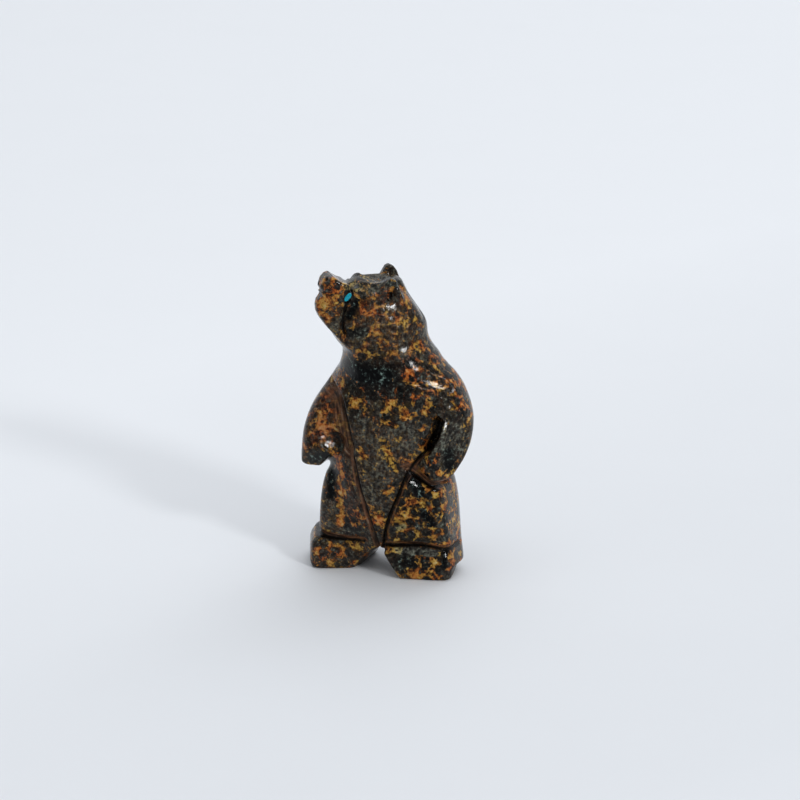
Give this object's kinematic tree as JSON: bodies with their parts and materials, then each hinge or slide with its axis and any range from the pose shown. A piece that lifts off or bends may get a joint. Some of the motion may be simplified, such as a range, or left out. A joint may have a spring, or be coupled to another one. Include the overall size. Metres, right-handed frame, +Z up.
{
  "type": "bear carving",
  "caption": "Small standing bear carved in the round from mottled stone, arms at its sides, head turned with the snout raised, with oval turquoise inlaid eyes.",
  "frame": {"origin": "middle of the figure's bounding box at the height of the soles it stands on", "axes": "+Z up from the soles to the head, -Y out of the bear's chest, +X toward the bear's left side"},
  "size_m": [0.0304, 0.0176, 0.0534],
  "materials": {
    "stone": "polished, mottled charcoal and ochre",
    "turquoise": "polished turquoise"
  },
  "bodies": {
    "root": {"bear": "stone", "eye_left": "turquoise", "eye_right": "turquoise"}
  },
  "joints": []
}
